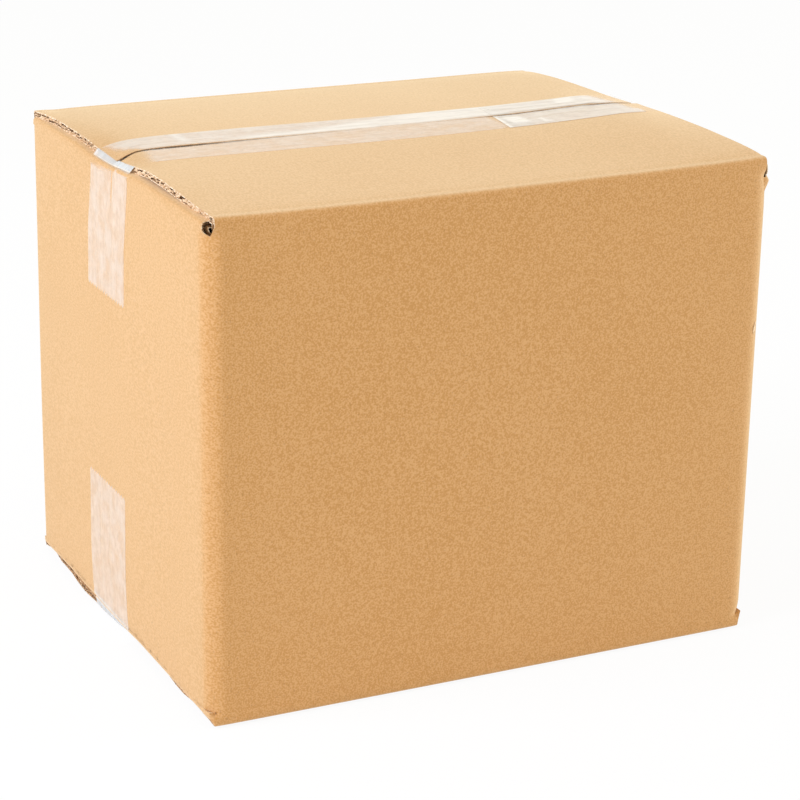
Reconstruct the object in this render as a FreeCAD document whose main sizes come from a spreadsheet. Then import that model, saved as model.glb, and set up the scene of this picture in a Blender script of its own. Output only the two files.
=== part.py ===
"""A closed, taped shipping carton of single-wall corrugated board.

The carton is one blank: four side panels joined by a glued tab, four flaps above and four below.
The end flaps fold in first, the long flaps close over them and meet at a seam along X, and clear
tape holds both seams. X runs along the seam, Y across it, Z up, and the origin lies on the floor
under the middle of the box. All lengths are millimetres.
"""
import FreeCAD, Part
import math
import os
import Sketcher

# Driving sizes of the carton and its tapes
SIZES = {
    # carton, outside
    "box_length": 257.0,        # over the two end panels, along X
    "box_width": 217.0,         # over the two long panels, along Y
    "panel_height": 215.0,      # from the bottom folds of the long panels to their top folds
    # board
    "board": 3.0,               # thickness over both liners
    "liner": 0.4,               # one flat paper face of the board
    "fold_radius": 3.5,         # outside radius of a flap's fold
    "corner_radius": 3.5,       # outside radius of the upright creases
    # flaps
    "flap_inset": 3.5,          # a long flap stops this far short of the end panel's face
    "slot_inset": 4.5,          # an end flap stops this far short of the long panel's face
    "slot_depth": 7.0,          # the corner slots run this far past the folds
    "end_flap_reach": 108.0,    # an end flap reaches this far in from the end panel's face
    "seam_gap": 0.8,            # between the two long flaps
    "lap_gap": 0.2,             # between a long flap and the end flap under it
    "ridge_rise": 4.5,          # the top long flaps rise this much from fold to seam
    "bottom_sag": 1.5,          # the bottom long flaps hang this much below their folds
    "sag_run": 30.0,            # and reach that depth this far in from the fold
    "channel_depth": 2.5,       # the open flute in a long flap's side edge
    "flute_pitch": 6.5,         # one wave of the medium, the paper between the liners
    "flute_crest": 0.9,         # width of a wave's flat crest
    "medium": 0.3,              # thickness of the medium
    "flute_depth": 6.0,         # the waves stand open this far in from the seam
    # glued joint in one hidden corner
    "tab_width": 30.0,
    "tab_clear": 9.0,           # the tab stops this far short of the folds
    "joint_gap": 1.2,           # between the panel's raw edge and the tab's crease
    # tape
    "tape_width": 48.0,
    "tape_thickness": 0.06,
    "tooth_count": 15,          # teeth of the cutter across the tape
    "tooth_depth": 1.6,
    "end_waste": 5.0,           # a strip is made this much longer at each end and then cut
    "top_tape_shift": 5.0,      # the strips lie this far off the middle, towards the back
    "bottom_tape_shift": 12.0,
    "top_tape_drop": 60.0,      # length of each end below the end panel's fold
    "bottom_tape_climb": 60.0,  # length of each end above the end panel's fold
    "overlap_run": 77.0,        # the second strip starts this far in from the right end
    "overlap_skew": 7.0,        # its start is cut askew by this much
    "overlap_drop": 52.0,       # and hangs this far down it
}

doc = FreeCAD.newDocument("closed_carton")
sheet = doc.addObject("Spreadsheet::Sheet", "sizes")
for row, (alias, number) in enumerate(SIZES.items(), start=1):
    sheet.set(f"A{row}", alias)
    sheet.set(f"B{row}", str(number))
    sheet.setAlias(f"B{row}", alias)
doc.recompute()


class Size:
    """A length worked out from the sheet: its formula for the document, and its value."""

    def __init__(self, formula, value):
        self.formula = formula
        self.value = value

    @staticmethod
    def of(other):
        if isinstance(other, Size):
            return other
        return Size(str(other), float(other))

    def joined(self, sign, other, value):
        return Size(f"({self.formula} {sign} {other.formula})", value)

    def __add__(self, other):
        other = Size.of(other)
        return self.joined("+", other, self.value + other.value)

    def __sub__(self, other):
        other = Size.of(other)
        return self.joined("-", other, self.value - other.value)

    def __mul__(self, other):
        other = Size.of(other)
        return self.joined("*", other, self.value * other.value)

    def __truediv__(self, other):
        other = Size.of(other)
        return self.joined("/", other, self.value / other.value)

    def __neg__(self):
        return Size(f"(0 - {self.formula})", -self.value)

    __radd__ = __add__
    __rmul__ = __mul__

    def root(self):
        return Size(f"sqrt({self.formula})", math.sqrt(self.value))

    def whole(self):
        return Size(f"floor({self.formula})", float(math.floor(self.value)))


size = {alias: Size(f"sizes.{alias}", float(number)) for alias, number in SIZES.items()}


def new_body(label):
    body = doc.addObject("PartDesign::Body", label)
    body.Label = label
    return body


def origin_feature(body, role):
    return next(feature for feature in body.Origin.OriginFeatures if feature.Role == role)


def bind(feature, name, length):
    feature.setExpression(name, length.formula)


def draw(body, name, plane, corners, offset=None):
    """A sketch of one closed outline on an origin plane.

    Each corner is (x, y), or (x, y, centre_x, centre_y) where an arc runs on to the next corner.
    """
    sketch = body.newObject("Sketcher::SketchObject", name)
    sketch.AttachmentSupport = (origin_feature(body, plane), [""])
    sketch.MapMode = "FlatFace"
    if offset is not None:
        bind(sketch, "AttachmentOffset.Base.z", offset)
    add_outline(sketch, corners)
    return sketch


def add_outline(sketch, corners):
    """One more closed outline in a sketch, its corners bound to the sheet."""
    ends = []
    for corner, following in zip(corners, corners[1:] + corners[:1]):
        start = FreeCAD.Vector(corner[0].value, corner[1].value, 0)
        finish = FreeCAD.Vector(following[0].value, following[1].value, 0)
        if len(corner) == 2:
            edge = sketch.addGeometry(Part.LineSegment(start, finish), False)
            ends.append((edge, 1, 2))
            continue
        centre = FreeCAD.Vector(corner[2].value, corner[3].value, 0)
        spokes = start - centre, finish - centre
        anticlockwise = spokes[0].cross(spokes[1]).z > 0
        first, last = spokes if anticlockwise else spokes[::-1]
        circle = Part.Circle(centre, FreeCAD.Vector(0, 0, 1), first.Length)
        arc = Part.ArcOfCircle(circle, math.atan2(first.y, first.x), math.atan2(last.y, last.x))
        edge = sketch.addGeometry(arc, False)
        ends.append((edge, 1, 2) if anticlockwise else (edge, 2, 1))
        # The arc starts or ends level with its centre or straight above or below it
        level = abs(spokes[0].y) < abs(spokes[0].x)
        radius = corner[0] - corner[2] if level else corner[1] - corner[3]
        if radius.value < 0:
            radius = -radius
        number = sketch.addConstraint(Sketcher.Constraint("Radius", edge, radius.value))
        bind(sketch, f"Constraints[{number}]", radius)
    for index, corner in enumerate(corners):
        edge, start_point, end_point = ends[index]
        next_edge, next_point, unused = ends[(index + 1) % len(corners)]
        sketch.addConstraint(Sketcher.Constraint("Coincident", edge, end_point, next_edge, next_point))
        for kind, length in (("DistanceX", corner[0]), ("DistanceY", corner[1])):
            rule = Sketcher.Constraint(kind, -1, 1, edge, start_point, length.value)
            number = sketch.addConstraint(rule)
            bind(sketch, f"Constraints[{number}]", length)


def slant(feature, direction):
    """Run a pad or pocket along a sloping direction, with its length measured square to the sketch."""
    feature.UseCustomVector = True
    feature.AlongSketchNormal = True
    feature.Direction = FreeCAD.Vector(*[part.value for part in direction])
    for axis, part in zip("xyz", direction):
        bind(feature, f"Direction.{axis}", part)


def pad(body, name, sketch, length, symmetric=False, direction=None):
    """Extrude a sketch: from its plane, both ways, or along a sloping direction."""
    feature = body.newObject("PartDesign::Pad", name)
    feature.Profile = sketch
    bind(feature, "Length", length)
    if symmetric:
        feature.SideType = "Symmetric"
    if direction is not None:
        slant(feature, direction)
    return feature


def pocket(body, name, sketch, length=None, reversed_way=False, direction=None):
    """Cut a sketch out: this deep from its plane, also aslant, or right through both ways."""
    feature = body.newObject("PartDesign::Pocket", name)
    feature.Profile = sketch
    if length is None:
        feature.Type = "ThroughAll"
        feature.SideType = "Symmetric"
    else:
        bind(feature, "Length", length)
        feature.Reversed = reversed_way
    if direction is not None:
        slant(feature, direction)
    return feature


def mirror(body, feature, *planes):
    """Repeat a feature across one origin plane, or across two for all four quarters."""
    if len(planes) == 1:
        mirrored = body.newObject("PartDesign::Mirrored", feature.Name + "_mirrored")
        mirrored.Originals = [feature]
        mirrored.MirrorPlane = (origin_feature(body, planes[0]), [""])
        body.Tip = mirrored
        return mirrored
    quarters = body.newObject("PartDesign::MultiTransform", feature.Name + "_quarters")
    quarters.Originals = [feature]
    steps = []
    for plane in planes:
        step = doc.addObject("PartDesign::Mirrored", f"{feature.Name}_{plane[:2]}")
        step.MirrorPlane = (origin_feature(body, plane), [""])
        body.addObject(step)
        steps.append(step)
    quarters.Transformations = steps
    body.Tip = quarters
    return quarters


def row_along_x(body, feature, pitch, count):
    """Repeat a feature along X, and again on the other side of the seam."""
    both = body.newObject("PartDesign::MultiTransform", feature.Name + "_rows")
    both.Originals = [feature]
    row = doc.addObject("PartDesign::LinearPattern", feature.Name + "_row")
    row.Direction = (origin_feature(body, "X_Axis"), [""])
    row.Mode = "Spacing"
    other_side = doc.addObject("PartDesign::Mirrored", feature.Name + "_other_side")
    other_side.MirrorPlane = (origin_feature(body, "XZ_Plane"), [""])
    for transform in (row, other_side):
        body.addObject(transform)
    both.Transformations = [row, other_side]
    bind(row, "Offset", pitch)
    bind(row, "Occurrences", count)
    body.Tip = both


# Places worked out from the sizes
ZERO = Size("0", 0.0)
half_length = size["box_length"] / 2
half_width = size["box_width"] / 2
board = size["board"]
fold = size["fold_radius"]
floor_flap = size["tape_thickness"]                    # underside of the bottom long flaps
low_fold = floor_flap + size["bottom_sag"]             # lowest line of the long panels' bottom folds
high_fold = low_fold + size["panel_height"]            # highest line of their top folds
roof_run = half_width - fold - size["seam_gap"] / 2    # level length of a top long flap
roof_slope = size["ridge_rise"] / roof_run
roof_peak = high_fold + roof_slope * (half_width - fold)  # where the two halves of the roof would meet
end_top = roof_peak - board - size["lap_gap"]          # top of the end flaps, in the middle
end_bottom = low_fold + board + size["lap_gap"]        # underside of the bottom end flaps
flap_end = half_length - size["flap_inset"]
down_front = (ZERO, -roof_run, -size["ridge_rise"])    # down the roof from the seam, to the front
down_back = (ZERO, roof_run, -size["ridge_rise"])
level_front = (ZERO, -roof_run, ZERO)                   # to the front without a slope
seam_top = high_fold + size["ridge_rise"]              # top of the long flaps at the seam
flute_run = (flap_end - size["channel_depth"]) * 2 - size["flute_pitch"] / 2
flute_count = (flute_run / size["flute_pitch"]).whole()


def flap_section(face, start, turn, level, run_points, way):
    """Section through a panel's edge, its fold and its flap, as corners for draw().

    face is the panel's outer face, start where the section leaves the panel, level the flap's outer
    face at the fold, and way is 1 for a top flap and -1 for a bottom one. run_points are the further
    points of the flap's outer face, from the fold to its free edge.
    """
    inner = [(across, height - board * way) for across, height in run_points]
    inner.reverse()
    return [
        (face, start),
        (face, level - turn * way, face - turn, level - turn * way),
        (face - turn, level),
        *run_points,
        *inner,
        (face - turn, level - board * way, face - turn, level - turn * way),
        (face - board, level - turn * way),
        (face - board, start),
    ]


def rounded_rectangle(half_x, half_y, radius):
    """Corners of a rectangle about the origin with four round corners."""
    corners = []
    for sign_x, sign_y in ((1, 1), (-1, 1), (-1, -1), (1, -1)):
        centre = (half_x - radius) * sign_x, (half_y - radius) * sign_y
        on_side = half_x * sign_x, centre[1]
        on_end = centre[0], half_y * sign_y
        first, second = (on_side, on_end) if sign_x == sign_y else (on_end, on_side)
        corners.append((*first, *centre))
        corners.append(second)
    return corners


def flute_cells(start, face, way):
    """Outlines of one wave's two open cells in a flap's seam edge, from start along X.

    The first cell lies against the outer liner, the second against the inner one.
    """
    pitch, crest = size["flute_pitch"], size["flute_crest"]
    outer = face - size["liner"] * way
    inner = face - (board - size["liner"]) * way
    web = size["medium"] * 2 / 3            # the slanting medium takes up this much of a liner's face
    mouth = pitch - crest - web
    cells = []
    for middle, wide, narrow in ((start + pitch / 4, outer, inner + size["medium"] * way),
                                 (start + pitch * 3 / 4, inner, outer - size["medium"] * way)):
        cells.append([(middle - mouth / 2, wide), (middle + mouth / 2, wide),
                      (middle + crest / 2, narrow), (middle - crest / 2, narrow)])
    return cells


def make_carton():
    """The whole folded blank, from the panels outwards to the flaps, then its joint and edges."""
    body = new_body("carton")
    wall_low = low_fold + size["slot_depth"]
    wall_high = high_fold - size["slot_depth"]
    radius = size["corner_radius"]

    # Four side panels, up to the bottoms of the corner slots
    plan = draw(body, "panel_plan", "XY_Plane", rounded_rectangle(half_length, half_width, radius),
                offset=wall_low)
    add_outline(plan, rounded_rectangle(half_length - board, half_width - board, radius - board))
    pad(body, "panels", plan, wall_high - wall_low)

    # Top long flaps, a shallow roof from fold to seam
    seam = size["seam_gap"] / 2
    section = flap_section(half_width, wall_high, fold, high_fold,
                           [(seam, seam_top)], way=1)
    flap = pad(body, "top_long_flap", draw(body, "top_long_section", "YZ_Plane", section),
               flap_end * 2, symmetric=True)
    mirror(body, flap, "XZ_Plane")

    # Bottom long flaps, hanging a little below their folds and flat from there to the seam
    sagged = half_width - fold - size["sag_run"]
    section = flap_section(half_width, wall_low, fold, low_fold,
                           [(sagged, floor_flap), (seam, floor_flap)], way=-1)
    flap = pad(body, "bottom_long_flap", draw(body, "bottom_long_section", "YZ_Plane", section),
               flap_end * 2, symmetric=True)
    mirror(body, flap, "XZ_Plane")

    # Top end flaps, which the roof bends down towards both long panels
    free_edge = half_length - size["end_flap_reach"]
    half_flap = half_width - size["slot_inset"]
    section = flap_section(half_length, wall_high, fold, end_top, [(free_edge, end_top)], way=1)
    flap = pad(body, "top_end_flap", draw(body, "top_end_section", "XZ_Plane", section),
               half_flap, direction=down_front)
    mirror(body, flap, "XZ_Plane", "YZ_Plane")

    # Bottom end flaps, level
    section = flap_section(half_length, wall_low, fold, end_bottom, [(free_edge, end_bottom)], way=-1)
    flap = pad(body, "bottom_end_flap", draw(body, "bottom_end_section", "XZ_Plane", section),
               half_flap * 2, symmetric=True)
    mirror(body, flap, "YZ_Plane")

    # Glue tab, inside the back panel at the right end
    tab_low = end_bottom + size["tab_clear"]
    tab_high = high_fold - board - size["tab_clear"]
    tab_start = half_length - board
    tab_end = tab_start - size["tab_width"]
    taper = size["tab_clear"]
    tab = draw(body, "tab_outline", "XZ_Plane",
               [(tab_start, tab_low), (tab_start, tab_high),
                (tab_end, tab_high - taper), (tab_end, tab_low + taper)],
               offset=board - half_width)
    pad(body, "glue_tab", tab, board)

    # The back panel's raw edge, beside the crease that the tab turns round
    edge = half_length - board - size["joint_gap"]
    slit = draw(body, "joint_outline", "XY_Plane",
                [(edge, half_width - board), (edge + size["joint_gap"], half_width - board),
                 (edge + size["joint_gap"], half_width + board), (edge, half_width + board)],
                offset=tab_low)
    pocket(body, "joint", slit, tab_high - tab_low, reversed_way=True)

    # One flute stands open along each side edge of the long flaps
    liner = size["liner"]
    lip = fold + liner
    top_inner = high_fold - board + liner
    channel = draw(body, "top_channel_outline", "YZ_Plane",
                   [(seam, seam_top - liner),
                    (half_width - lip, high_fold - liner),
                    (half_width - lip, top_inner),
                    (seam, top_inner + size["ridge_rise"])],
                   offset=flap_end)
    mirror(body, pocket(body, "top_channel", channel, size["channel_depth"]),
           "XZ_Plane", "YZ_Plane")
    channel = draw(body, "bottom_channel_outline", "YZ_Plane",
                   [(seam, floor_flap + liner), (sagged, floor_flap + liner),
                    (sagged, floor_flap + board - liner), (seam, floor_flap + board - liner)],
                   offset=flap_end)
    mirror(body, pocket(body, "bottom_channel", channel, size["channel_depth"]),
           "XZ_Plane", "YZ_Plane")

    # The medium's waves show end-on along the seam, between the liners of the long flaps
    for name, face, way, inward in (("top_flutes", seam_top, 1, down_front),
                                    ("bottom_flutes", floor_flap, -1, level_front)):
        first, second = flute_cells(-(flute_count * size["flute_pitch"]) / 2, face, way)
        outline = draw(body, name + "_outline", "XZ_Plane", first, offset=seam)
        add_outline(outline, second)
        cells = pocket(body, name, outline, size["flute_depth"], direction=inward)
        row_along_x(body, cells, size["flute_pitch"], flute_count)
    return body


def tape_line(layer, flap_face, run_end, way):
    """Right half of a strip's line in the XZ plane, from the flap's edge to the strip's end.

    layer counts tapes out from the board. The strip leaves the flap's edge, bridges to the end
    panel where it clears the panel's fold, and follows the panel to run_end.
    """
    depth = board + size["lap_gap"] + fold
    if way < 0:
        depth = depth + size["bottom_sag"]
    side = fold - size["flap_inset"]
    lift = fold * (depth - (depth * depth + side * side - fold * fold).root()) / (fold + side)
    thickness = size["tape_thickness"] * layer
    knee = flap_face - (depth - lift) * way
    return [
        (flap_end + thickness / 2, flap_face + thickness * way),
        (half_length + thickness, knee + thickness / 2 * way),
        (half_length + thickness, run_end),
    ]


def cut_end(body, name, shift, cut, way):
    """Cut both hanging ends of a strip with the toothed line of a dispenser's blade.

    Each tooth's outline runs on past the strip's waste, to twice its length.
    """
    pitch = size["tape_width"] / size["tooth_count"]
    start = shift - size["tape_width"] / 2
    waste = cut - size["end_waste"] * way * 2
    cell = draw(body, name + "_tooth", "YZ_Plane",
                [(start, waste), (start, cut), (start + pitch / 2, cut + size["tooth_depth"] * way),
                 (start + pitch, cut), (start + pitch, waste)])
    tooth = pocket(body, name, cell)
    row = body.newObject("PartDesign::LinearPattern", name + "_row")
    row.Originals = [tooth]
    row.Direction = (origin_feature(body, "Y_Axis"), [""])
    row.Mode = "Spacing"
    bind(row, "Offset", pitch)
    bind(row, "Occurrences", size["tooth_count"])
    body.Tip = row


def across(points):
    """The same points on the left half, in reverse order."""
    return [(-along, height) for along, height in reversed(points)]


def make_strip(label, inner, outer, shift, sloping):
    """A strip between two lines in the XZ plane, laid across the seam."""
    body = new_body(label)
    outline = draw(body, label + "_line", "XZ_Plane", inner + outer[::-1])
    reach = size["tape_width"] / 2
    if sloping:
        pad(body, label + "_front", outline, reach - shift, direction=down_front)
        pad(body, label + "_back", outline, reach + shift, direction=down_back)
    else:
        pad(body, label + "_front", outline, reach - shift)
        behind = pad(body, label + "_back", outline, reach + shift)
        behind.Reversed = True
    return body


carton = make_carton()

top_cut = end_top - size["top_tape_drop"]
top_waste = top_cut - size["end_waste"]
lines = [tape_line(layer, roof_peak, top_waste, way=1) for layer in (0, 1, 2)]
top_tape = make_strip("top_tape", across(lines[0]) + lines[0], across(lines[1]) + lines[1],
                      size["top_tape_shift"], sloping=True)
cut_end(top_tape, "top_tape_end", size["top_tape_shift"], top_cut, way=1)

overlap_cut = end_top - size["overlap_drop"]
overlap_waste = overlap_cut - size["end_waste"]
start = half_length - size["overlap_run"]
under = tape_line(1, roof_peak, overlap_waste, way=1)
over = tape_line(2, roof_peak, overlap_waste, way=1)
overlap = make_strip("top_tape_overlap", [(start, under[0][1])] + under, [(start, over[0][1])] + over,
                     size["top_tape_shift"], sloping=True)
front_edge = size["top_tape_shift"] - size["tape_width"] / 2
back_edge = size["top_tape_shift"] + size["tape_width"] / 2
wedge = draw(overlap, "overlap_start_outline", "XY_Plane",
             [(start, front_edge), (start + size["overlap_skew"], back_edge), (start, back_edge)])
pocket(overlap, "overlap_start", wedge)
cut_end(overlap, "overlap_end", size["top_tape_shift"], overlap_cut, way=1)

bottom_cut = end_bottom + size["bottom_tape_climb"]
bottom_waste = bottom_cut + size["end_waste"]
inner = tape_line(0, floor_flap, bottom_waste, way=-1)
outer = tape_line(1, floor_flap, bottom_waste, way=-1)
bottom_tape = make_strip("bottom_tape", across(inner) + inner, across(outer) + outer,
                         size["bottom_tape_shift"], sloping=False)
cut_end(bottom_tape, "bottom_tape_end", size["bottom_tape_shift"], bottom_cut, way=-1)

doc.recompute()

failed = [thing.Name for thing in doc.Objects if {"Invalid", "Error"} & set(thing.State)]
if failed:
    raise RuntimeError("failed features: " + ", ".join(failed))
os.makedirs("parts", exist_ok=True)
for body in (carton, top_tape, overlap, bottom_tape):
    shape = body.Shape
    if shape.isNull() or not shape.isValid() or len(shape.Solids) != 1:
        raise RuntimeError(f"{body.Label} is not one sound solid")
    box = shape.BoundBox
    print(f"{body.Label}: {shape.Volume:.1f} mm3, x {box.XMin:.2f} to {box.XMax:.2f}, "
          f"y {box.YMin:.2f} to {box.YMax:.2f}, z {box.ZMin:.2f} to {box.ZMax:.2f}")
    shape.exportStep(f"parts/{body.Label}.step")
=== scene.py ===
# %% [markdown]
# # A taped shipping carton
#
# The object is a closed carton of corrugated board. It is folded from one flat blank: four side
# panels in a row, a narrow glue tab at one end, and four flaps above and four below. Clear tape
# holds the flaps shut.
#
# The solid model is loaded first, as a fixed frame. It could be shown as it is, but its board is one
# solid with straight faces. A real carton is made of papers, and it bows, sags and frays, so each
# piece is built anew here around the frame's sizes.

# %% The frame
import math

import bmesh
import bpy
import numpy as np
from mathutils import Matrix, Vector


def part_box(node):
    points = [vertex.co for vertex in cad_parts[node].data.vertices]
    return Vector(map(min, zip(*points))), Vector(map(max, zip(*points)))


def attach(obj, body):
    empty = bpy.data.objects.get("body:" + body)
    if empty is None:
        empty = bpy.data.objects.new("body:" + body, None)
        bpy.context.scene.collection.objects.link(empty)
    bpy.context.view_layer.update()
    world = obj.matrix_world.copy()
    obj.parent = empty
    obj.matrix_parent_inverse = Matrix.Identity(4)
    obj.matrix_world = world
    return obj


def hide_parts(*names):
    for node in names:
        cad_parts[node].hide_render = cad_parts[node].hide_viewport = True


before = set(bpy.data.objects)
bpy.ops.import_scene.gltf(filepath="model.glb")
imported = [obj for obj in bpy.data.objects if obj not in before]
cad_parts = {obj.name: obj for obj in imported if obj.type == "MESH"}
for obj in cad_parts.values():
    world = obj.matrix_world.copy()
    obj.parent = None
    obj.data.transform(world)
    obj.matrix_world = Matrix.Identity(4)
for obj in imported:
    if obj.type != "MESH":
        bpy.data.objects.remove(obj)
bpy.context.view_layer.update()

MM = 0.001
carton_low, carton_high = (np.array(corner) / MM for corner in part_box("carton"))
HALF_LENGTH = (carton_high[0] - carton_low[0]) / 2
HALF_WIDTH = (carton_high[1] - carton_low[1]) / 2
print("carton, mm:", carton_low.round(2), carton_high.round(2))

# %% [markdown]
# ## Camera
#
# The camera stands to the front left of the box and looks down on it. Its place could be found by
# eye, but the seven corners that show fix it: a pinhole camera was solved from them, and its
# azimuth, elevation, small roll, place and lens are written here.

# %% Camera
LENS = 112.21
CAMERA_PLACE = Vector((-466.4, -977.8, 465.2))
AZIMUTH, ELEVATION, ROLL = (math.radians(angle) for angle in (-25.9027, 18.9713, 0.9361))
backward = Vector((math.sin(AZIMUTH) * math.cos(ELEVATION),
                   -math.cos(AZIMUTH) * math.cos(ELEVATION),
                   math.sin(ELEVATION)))
level = Vector((math.cos(AZIMUTH), math.sin(AZIMUTH), 0))
upright = backward.cross(level)
across = level * math.cos(ROLL) + upright * math.sin(ROLL)
upward = upright * math.cos(ROLL) - level * math.sin(ROLL)

camera = bpy.data.objects.new("camera", bpy.data.cameras.new("camera"))
camera.data.sensor_width = 36.0
camera.data.lens = LENS
camera.data.clip_end = 50.0
camera.matrix_world = (Matrix.Translation(CAMERA_PLACE * MM)
                       @ Matrix((across, upward, backward)).transposed().to_4x4())
bpy.context.scene.collection.objects.link(camera)
bpy.context.scene.camera = camera
print("camera at", [round(value, 3) for value in camera.location])

# %% [markdown]
# ## Light, world and floor
#
# The box stands on white and is lit softly: the end panel and the top are bright, the long panel
# is a tone darker. Area lamps at the left, the right and in front and a warm, pale world do that;
# a sun would be simpler, but its shadow is hard. To the camera and in reflections the world is
# plain white, which Light Path gives. The floor mixes its real, shaded colour with white, so that
# it is as white as the world and yet keeps the soft shadow under the box.


# %% Node helper
class Wire:
    """One value in a node tree. Arithmetic on it adds Math nodes, and node() adds any other."""

    def __init__(self, tree, socket=None):
        self.tree = tree
        self.socket = socket

    def node(self, kind, settings=None, sockets=None, output=0):
        """A new node. A socket takes a number or a colour, or is linked to another Wire."""
        made = self.tree.nodes.new(kind)
        for name, value in (settings or {}).items():
            setattr(made, name, value)
        for name, value in (sockets or {}).items():
            if isinstance(value, Wire):
                self.tree.links.new(value.socket, made.inputs[name])
            else:
                made.inputs[name].default_value = value
        return Wire(self.tree, made.outputs[output])

    def math(self, operation, *values):
        """The result of one Math node."""
        return self.node("ShaderNodeMath", {"operation": operation}, dict(enumerate(values)))

    def __add__(self, other):
        return self.math("ADD", self, other)

    def __sub__(self, other):
        return self.math("SUBTRACT", self, other)

    def __rsub__(self, other):
        return self.math("SUBTRACT", other, self)

    def __mul__(self, other):
        return self.math("MULTIPLY", self, other)

    def axes(self):
        """The three components of this vector."""
        outputs = self.node("ShaderNodeSeparateXYZ", sockets={0: self}).socket.node.outputs
        return [Wire(self.tree, outputs[axis]) for axis in "XYZ"]

    def noise(self, scale, detail, roughness=0.5):
        """Noise at this place."""
        return self.node("ShaderNodeTexNoise", sockets={
            "Vector": self, "Scale": scale, "Detail": detail, "Roughness": roughness})

    def blend(self, first, second):
        """A colour between two, by this value."""
        return self.node("ShaderNodeMix", {"data_type": "RGBA"},
                         {0: self, 6: first, 7: second}, output=2)

    def between(self, low, high, first=0.0, second=1.0):
        """This value's smooth step from first to second as it goes from low to high."""
        return self.node("ShaderNodeMapRange", {"interpolation_type": "SMOOTHSTEP"},
                         {"Value": self, "From Min": low, "From Max": high,
                          "To Min": first, "To Max": second})


def tone(red, green, blue):
    """A linear colour from screen values of 0 to 255."""
    screen = [value / 255 for value in (red, green, blue)]
    return (*[value / 12.92 if value <= 0.04045 else ((value + 0.055) / 1.055) ** 2.4
              for value in screen], 1.0)


def new_material(name):
    """An empty material and the helper for its nodes."""
    material = bpy.data.materials.new(name)
    material.use_nodes = True
    material.node_tree.nodes.clear()
    return material, Wire(material.node_tree)


def finish(wires, shader, kind="ShaderNodeOutputMaterial"):
    """Links a shader to its tree's output."""
    output = wires.tree.nodes.new(kind)
    wires.tree.links.new(shader.socket, output.inputs["Surface"])


print("shader helper, for example the white of the film:", [round(v, 2) for v in tone(255, 247, 232)])


# %% World, lamps and floor
WHITE = (1.0, 1.0, 1.0, 1.0)
WORLD_FILL = (0.72, 0.685, 0.565, 1.0)
FLOOR_WHITE = 0.92


def seen_directly(wires):
    """1 for camera, glossy and transmission rays, 0 for the rays that carry light to the box."""
    rays = wires.node("ShaderNodeLightPath").socket.node.outputs
    direct = Wire(wires.tree, rays["Is Camera Ray"])
    for name in ("Is Glossy Ray", "Is Transmission Ray"):
        direct = direct.math("MAXIMUM", direct, Wire(wires.tree, rays[name]))
    return direct


world = bpy.data.worlds.new("white_surroundings")
world.use_nodes = True
world.node_tree.nodes.clear()
wires = Wire(world.node_tree)
surroundings = wires.node("ShaderNodeBackground", sockets={
    "Color": seen_directly(wires).blend(WORLD_FILL, WHITE), "Strength": 1.0})
finish(wires, surroundings, "ShaderNodeOutputWorld")
bpy.context.scene.world = world
bpy.context.scene.view_settings.view_transform = "Standard"


def add_lamp(name, place, size, power, colour):
    """A square area lamp that faces the middle of the box."""
    light = bpy.data.lights.new(name, "AREA")
    light.size = size
    light.energy = power
    light.color = colour
    lamp = bpy.data.objects.new(name, light)
    lamp.location = place
    aim = Vector((0, 0, 0.1)) - lamp.location
    lamp.rotation_mode = "QUATERNION"
    lamp.rotation_quaternion = aim.to_track_quat("-Z", "Y")
    bpy.context.scene.collection.objects.link(lamp)


add_lamp("key_lamp", (-1.7, -0.1, 1.15), 1.2, 25.0, (0.95, 1.02, 1.30))
add_lamp("side_lamp", (2.0, -0.35, 0.35), 0.8, 18.0, (1.0, 1.0, 1.05))
add_lamp("front_lamp", (0.3, -2.2, 0.9), 1.4, 3.0, (1.0, 0.96, 0.90))

floor_material, wires = new_material("white_floor")
shaded = wires.node("ShaderNodeBsdfDiffuse", sockets={"Color": tone(249, 250, 252)})
lit = wires.node("ShaderNodeEmission", sockets={"Color": WHITE, "Strength": 1.0})
finish(wires, wires.node("ShaderNodeMixShader", sockets={
    0: seen_directly(wires) * FLOOR_WHITE, 1: shaded, 2: lit}))

bpy.ops.mesh.primitive_plane_add(size=16, location=(0, 4, -0.0002))
floor = bpy.context.object
floor.name = "floor"
floor.data.materials.append(floor_material)
print("3 lamps, a white world and a floor")

# %% [markdown]
# ## The lie of the flaps
#
# The long flaps of the top don't lie flat. They arch up from their folds to the seam, rise towards
# the right end, where the second strip of tape lies, and dip at the seam's left end, where the tape
# pulls them down over the end panel. A few bumps could be sculpted by hand; instead a small table
# of heights, at stations along the box and across each flap, is blurred into a smooth surface.
# Every piece of the top asks that one surface, so board and tape stay together.

# %% Heights of the top flaps
STATIONS = (-126, -122.5, -119, -112, -100, -60, 0, 60, 105, 117, 126)
ACROSS = (0, 12, 25, 40, 58, 75, 90, 98, 105)
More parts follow.
